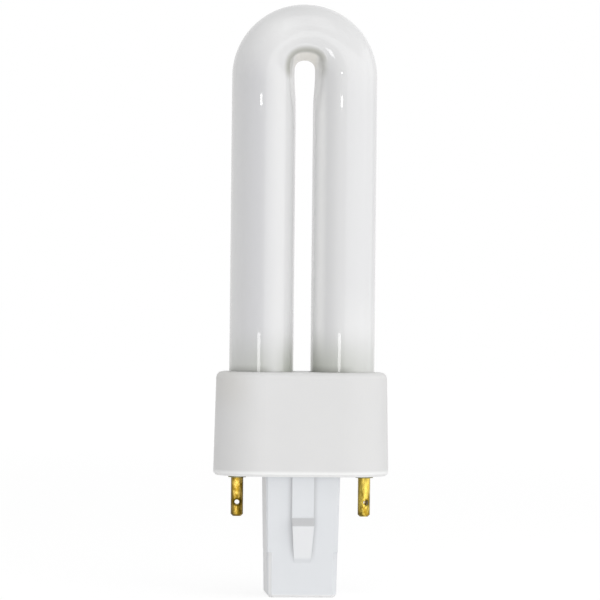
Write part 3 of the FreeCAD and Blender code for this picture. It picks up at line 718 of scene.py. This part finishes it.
# each carried-over node takes the finish whose key is the longest start of its name
def dressNodes():
    made = {"shellPlastic": shellPlastic(), "capPlastic": capPlastic(), "pinBrass": pinBrass()}
    for name in hidden:
        made[name] = innerFinish(name)
    for node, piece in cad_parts.items():
        keys = [key for key in nodeFinish if node.startswith(key)]
        if keys:
            dress(piece, made[nodeFinish[max(keys, key=len)]])


makeGlass()
dressNodes()
print("pieces dressed")


# the stage: a pale floor under the lamp, in the white of the room
stage = {
    "reach": 20.0,
    "colour": (0.9, 0.9, 0.9),
    "white": (1.0, 1.0, 1.0),
    "glow": 1.26,
    "glowNear": 0.60,  # the share of the glow under the lamp, where its shadow shows
    "glowFar": 0.66,
    "farRange": (0.15, 0.9),
    "ambient": 0.55,
}


# seen straight or in a gloss the floor is nearly white, and the rest of it shows the lamp's shadow
def makeFloor():
    reach, level = stage["reach"], cadBox[0].z
    mesh = bpy.data.meshes.new("floor")
    corners = [(x * reach, y * reach, level) for x, y in ((-1, -1), (1, -1), (1, 1), (-1, 1))]
    mesh.from_pydata(corners, [], [(0, 1, 2, 3)])
    floor = bpy.data.objects.new("floor", mesh)
    bpy.context.scene.collection.objects.link(floor)
    finish = Finish("paleFloor")
    plain = finish.add("ShaderNodeBsdfDiffuse", {}, {"Color": stage["colour"]})
    glow = finish.add("ShaderNodeEmission", {}, {"Color": stage["white"], "Strength": stage["glow"]})
    x, y = finish.axes("XY")
    away = ((x * x + y * y) ** 0.5).rise(*stage["farRange"])
    share = finish.seen() * (away * (stage["glowFar"] - stage["glowNear"]) + stage["glowNear"])
    mixed = finish.add("ShaderNodeMixShader", {}, {0: share, 1: plain.outputs[0], 2: glow.outputs[0]})
    dress(floor, finish.finishWith(mixed))


# a soft even light for the pieces, and plain white where the camera or a gloss sees the room
def makeRoom():
    world = bpy.data.worlds.new("room")
    world.use_nodes = True
    bpy.context.scene.world = world
    room = Nodes(world.node_tree)
    soft = room.add("ShaderNodeBackground", {}, {"Color": stage["white"], "Strength": stage["ambient"]})
    plain = room.add("ShaderNodeBackground", {}, {"Color": stage["white"], "Strength": 1.0})
    mixed = room.add("ShaderNodeMixShader", {}, {0: room.seen(), 1: soft.outputs[0], 2: plain.outputs[0]})
    room.add("ShaderNodeOutputWorld", {}, {"Surface": mixed.outputs[0]})


# area lamps that face the middle of the object: azimuth and elevation of each as seen from there,
# in degrees, its distance, width and height in metres, and how bright its face is
lampTarget = Vector((0.0, 0.0, 0.0316))
lamps = {
    "softboxRight": (40.0, 6.0, 0.8, 1.2, 0.5, 1.08),
    "softboxSide": (95.0, 12.0, 0.8, 0.6, 0.5, 0.75),
    "softboxTop": (10.0, 58.0, 0.8, 0.6, 0.6, 0.75),
    "floorGlow": (-15.0, -17.0, 0.16, 0.36, 0.012, 2.0),
    "frontLow": (-14.5, -5.5, 0.25, 0.044, 0.032, 6.0),
    "frontHigh": (-14.5, 11.3, 0.25, 0.030, 0.0028, 14.0),
}


# The place of a lamp is its distance out from the target, along the unit direction of its two
# angles. Its power is pi * width * height * radiance, which gives its face that radiance.
def makeLamps():
    for name, (azimuth, elevation, distance, width, height, radiance) in lamps.items():
        turn, rise = math.radians(azimuth), math.radians(elevation)
        across = math.cos(rise)
        away = Vector((math.sin(turn) * across, -math.cos(turn) * across, math.sin(rise)))
        light = bpy.data.lights.new(name, "AREA")
        light.shape = "RECTANGLE"
        light.size = width
        light.size_y = height
        light.energy = math.pi * width * height * radiance
        lamp = bpy.data.objects.new(name, light)
        lamp.location = lampTarget + away * distance
        lamp.rotation_euler = (-away).to_track_quat("-Z", "Y").to_euler()
        bpy.context.scene.collection.objects.link(lamp)


# the photograph's view: level, a little from the left, with a slight roll of the picture
camera = {
    "azimuth": -4.2,
    "roll": 0.58,
    "distance": 0.65,
    "pixelsPerMetre": 5534.0,
    "frameWidth": 600.0,
    "sensor": 36.0,
    "nearest": 0.01,
    "aim": Vector((-0.00045, 0.0, 0.0316)),
}


def makeCamera():
    data = bpy.data.cameras.new("photographView")
    data.sensor_width = camera["sensor"]
    data.lens = camera["pixelsPerMetre"] * camera["sensor"] * camera["distance"] / camera["frameWidth"]
    data.clip_start = camera["nearest"]
    view = bpy.data.objects.new("photographView", data)
    turn = math.radians(camera["azimuth"])
    back = Vector((math.sin(turn), -math.cos(turn), 0.0))
    view.location = camera["aim"] + back * camera["distance"]
    facing = (-back).to_track_quat("-Z", "Y").to_matrix()
    rolled = facing @ Matrix.Rotation(math.radians(camera["roll"]), 3, "Z")
    view.rotation_euler = rolled.to_euler()
    bpy.context.scene.collection.objects.link(view)
    bpy.context.scene.camera = view


makeFloor()
makeRoom()
makeLamps()
makeCamera()
bpy.context.scene.view_settings.view_transform = "Standard"
print("stage, lamps and camera set")
